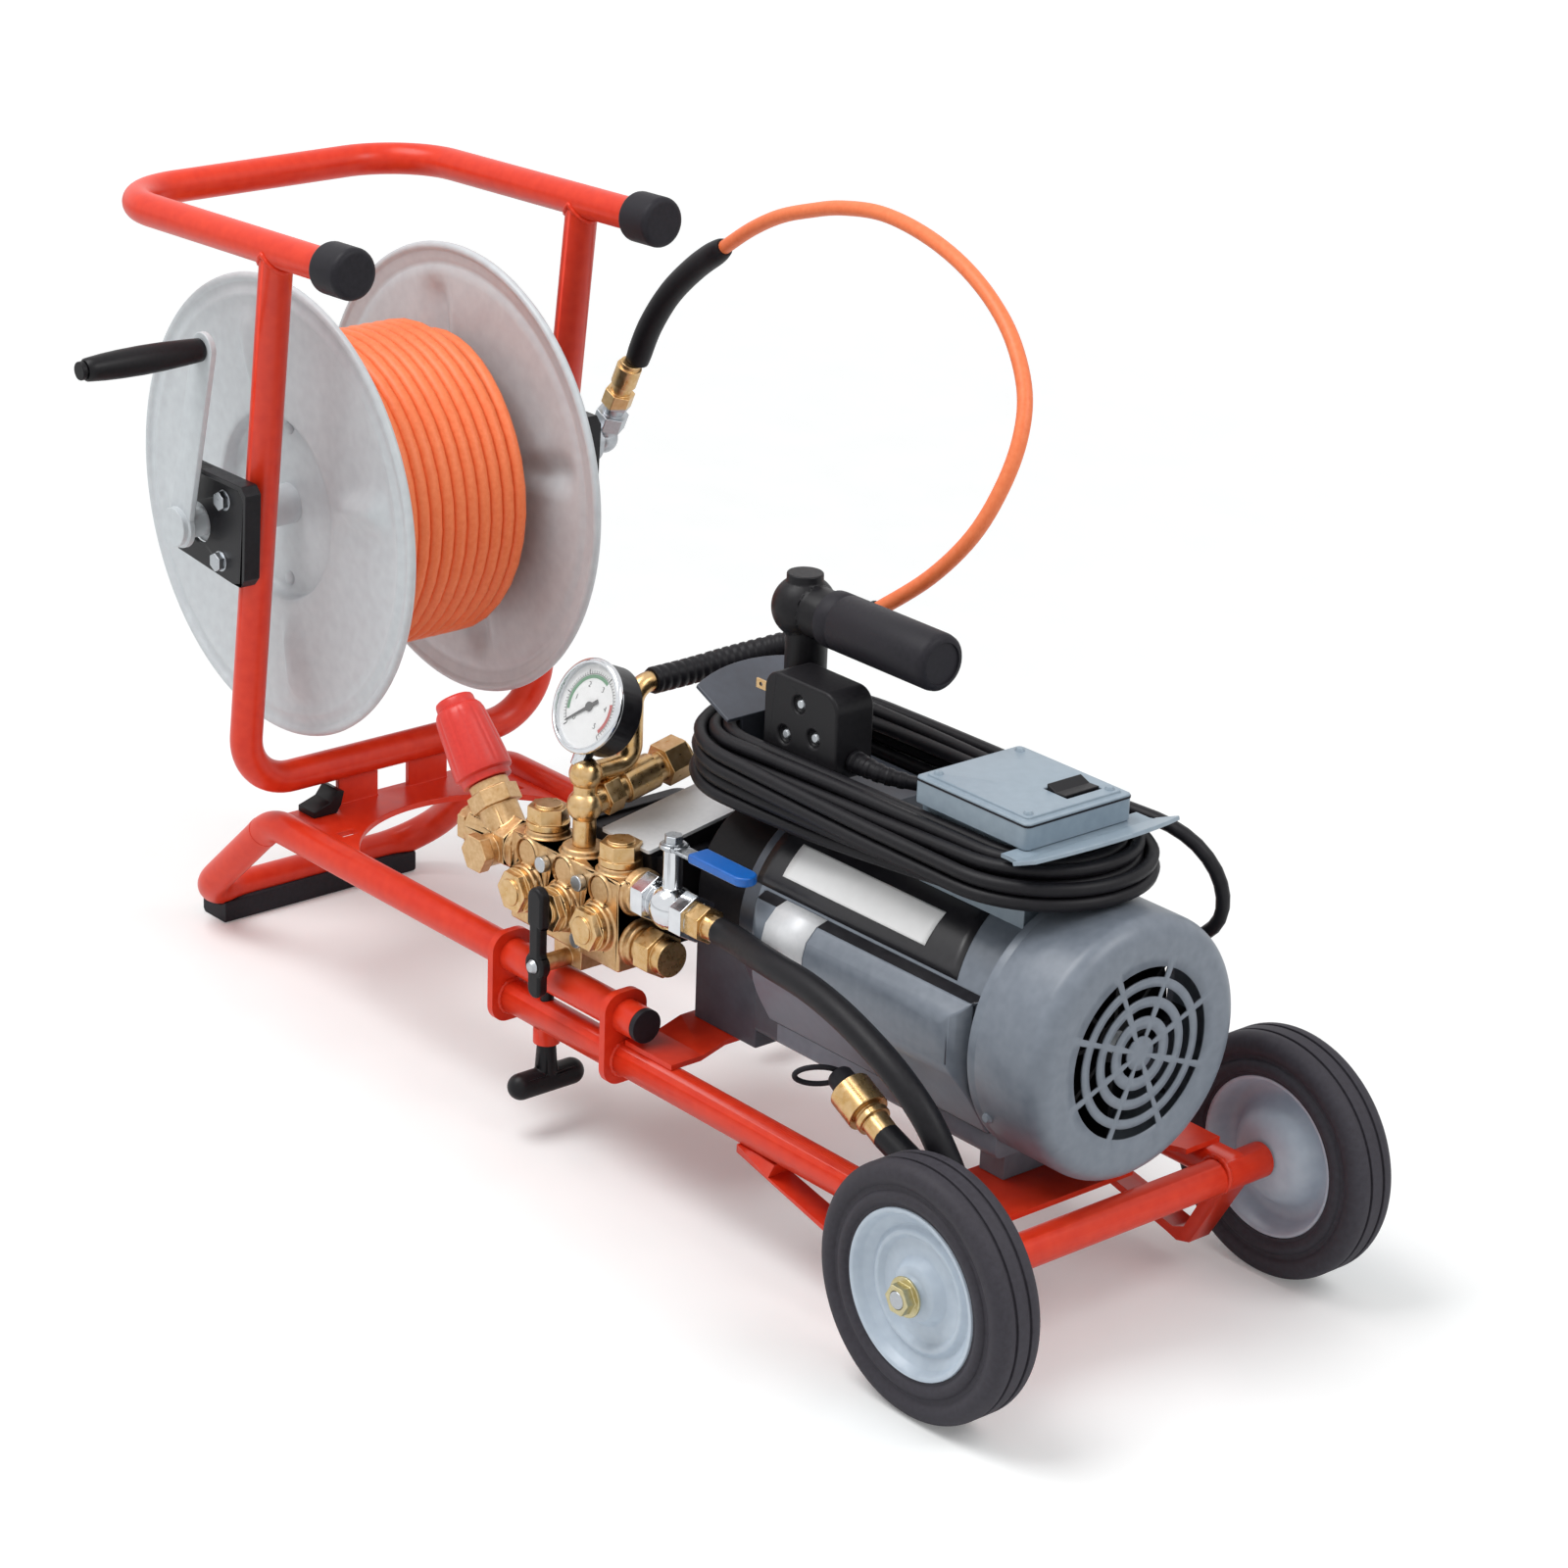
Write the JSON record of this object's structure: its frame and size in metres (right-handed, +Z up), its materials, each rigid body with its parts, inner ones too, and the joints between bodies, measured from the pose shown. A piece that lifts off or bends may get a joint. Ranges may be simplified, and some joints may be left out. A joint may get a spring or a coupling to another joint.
{
  "type": "hose reel pressure washer cart",
  "caption": "Electric high pressure water jetter on a two-wheeled tube cart, with a brass plunger pump, a motor and a cranked hose reel on a bent tube frame.",
  "frame": {"origin": "centre of the ground face of the front rubber foot, in the middle plane of the cart", "axes": "+X from the front foot to the wheels, +Y away from the crank side, +Z up"},
  "size_m": [1.1244, 0.5309, 0.6397],
  "materials": {
    "frame_paint": "gloss red-orange powder coat",
    "zinc": "bright zinc plate",
    "tyre_rubber": "solid rubber",
    "rim_paint": "silver-blue enamel",
    "black_parts": "moulded black",
    "black_rubber": "matt black rubber",
    "black_steel": "black enamel",
    "flange_paint": "light grey enamel",
    "hose_jacket": "smooth orange jacket",
    "motor_paint": "blue-grey enamel",
    "brass": "machined and forged brass",
    "knob_red": "moulded red",
    "chrome": "polished",
    "dial_white": "white printed face",
    "needle_black": "black",
    "lever_blue": "vinyl dipped blue"
  },
  "bodies": {
    "cart": {"base_frame": "frame_paint", "frame_plates": "frame_paint", "axle_rod": "zinc", "axle_nuts": "zinc", "motor_shell": "motor_paint", "stator": "zinc", "fan_cover": "motor_paint", "capacitor_cover": "motor_paint", "motor_base": "motor_paint", "wrap_bracket": "motor_paint", "switch_box": "motor_paint", "carry_arm": "black_parts", "carry_grip": "black_rubber", "ground_fault_plug": "black_parts", "plug_blades": "brass", "cord_coil": "black_rubber", "cord_lead": "black_rubber", "crankcase": "black_steel", "pump_adapter": "black_steel", "manifold": "brass", "valve_caps": "brass", "pump_bolts": "zinc", "unloader_body": "brass", "pulse_valve": "brass", "gauge_case": "chrome", "gauge_dial": "dial_white", "outlet_fittings": "brass", "inlet_valve": "chrome", "hose_tail": "brass", "inlet_hose": "black_rubber", "garden_coupling": "brass", "pump_sleeve": "black_rubber"},
    "near_wheel": {"tyre_near": "tyre_rubber", "rim_near": "rim_paint"},
    "far_wheel": {"tyre_far": "tyre_rubber", "rim_far": "rim_paint"},
    "near_clamp_screw": {"clamp_knob_near": "black_parts"},
    "far_clamp_screw": {"clamp_knob_far": "black_parts"},
    "front_section": {"front_tube": "frame_paint", "front_plate": "frame_paint", "foot_pad": "black_rubber", "end_caps": "black_rubber", "reel_frame": "frame_paint", "reel_brackets": "black_steel", "reel_latch": "black_parts", "swivel": "brass", "feed_hose": "hose_jacket", "reel_sleeve": "black_rubber"},
    "reel": {"reel_flanges": "flange_paint", "reel_drum": "zinc", "wound_hose": "hose_jacket", "crank_arm": "flange_paint"},
    "reel_grip": {"crank_grip": "black_rubber"},
    "rotor": {"motor_rotor": "zinc", "cooling_fan": "black_parts"},
    "pressure_knob": {"unloader_knob": "knob_red"},
    "pulse_handle": {"pulse_lever": "black_parts"},
    "inlet_handle": {"inlet_lever": "lever_blue"},
    "needle": {"gauge_needle": "needle_black"},
    "rocker": {"switch_rocker": "black_parts"}
  },
  "joints": [
    {"name": "near_wheel_spin", "type": "hinge", "parent": "cart", "child": "near_wheel", "pos_m": [0.936, -0.165, 0.0889], "axis": [0, 1, 0], "continuous": true},
    {"name": "far_wheel_spin", "type": "hinge", "parent": "cart", "child": "far_wheel", "pos_m": [0.936, 0.165, 0.0889], "axis": [0, 1, 0], "continuous": true},
    {"name": "near_clamp_turn", "type": "hinge", "parent": "cart", "child": "near_clamp_screw", "pos_m": [0.465, -0.1125, 0.04], "axis": [0, 0, 1], "range_deg": [-180, 180]},
    {"name": "far_clamp_turn", "type": "hinge", "parent": "cart", "child": "far_clamp_screw", "pos_m": [0.465, 0.1125, 0.04], "axis": [0, 0, 1], "range_deg": [-180, 180]},
    {"name": "front_section_slide", "type": "slide", "parent": "cart", "child": "front_section", "axis": [1, 0, 0], "range_m": [-0.018, 0.045], "deforming": ["feed_hose"]},
    {"name": "reel_spin", "type": "hinge", "parent": "front_section", "child": "reel", "pos_m": [0.082, 0, 0.373], "axis": [0, 1, 0], "continuous": true},
    {"name": "grip_spin", "type": "hinge", "parent": "reel", "child": "reel_grip", "pos_m": [0.11725, -0.17115, 0.51983], "axis": [0, 1, 0], "continuous": true},
    {"name": "rotor_spin", "type": "hinge", "parent": "cart", "child": "rotor", "pos_m": [0.637, 0, 0.215], "axis": [1, 0, 0], "continuous": true},
    {"name": "pressure_knob_turn", "type": "hinge", "parent": "cart", "child": "pressure_knob", "pos_m": [0.398, -0.098, 0.208], "axis": [-0.6428, 0, 0.766], "range_deg": [-180, 180]},
    {"name": "pulse_handle_turn", "type": "hinge", "parent": "cart", "child": "pulse_handle", "pos_m": [0.487, -0.134, 0.146], "axis": [0, 1, 0], "range_deg": [0, 90]},
    {"name": "inlet_handle_turn", "type": "hinge", "parent": "cart", "child": "inlet_handle", "pos_m": [0.586, -0.098, 0.26], "axis": [0, 0, 1], "range_deg": [-90, 0]},
    {"name": "needle_turn", "type": "hinge", "parent": "cart", "child": "needle", "pos_m": [0.482, -0.096, 0.334], "axis": [0, -0.9135, 0.4067], "range_deg": [-260, 0]},
    {"name": "rocker_tip", "type": "hinge", "parent": "cart", "child": "rocker", "pos_m": [0.856, 0.018, 0.3658], "axis": [0, 1, 0], "range_deg": [-14, 0]}
  ]
}
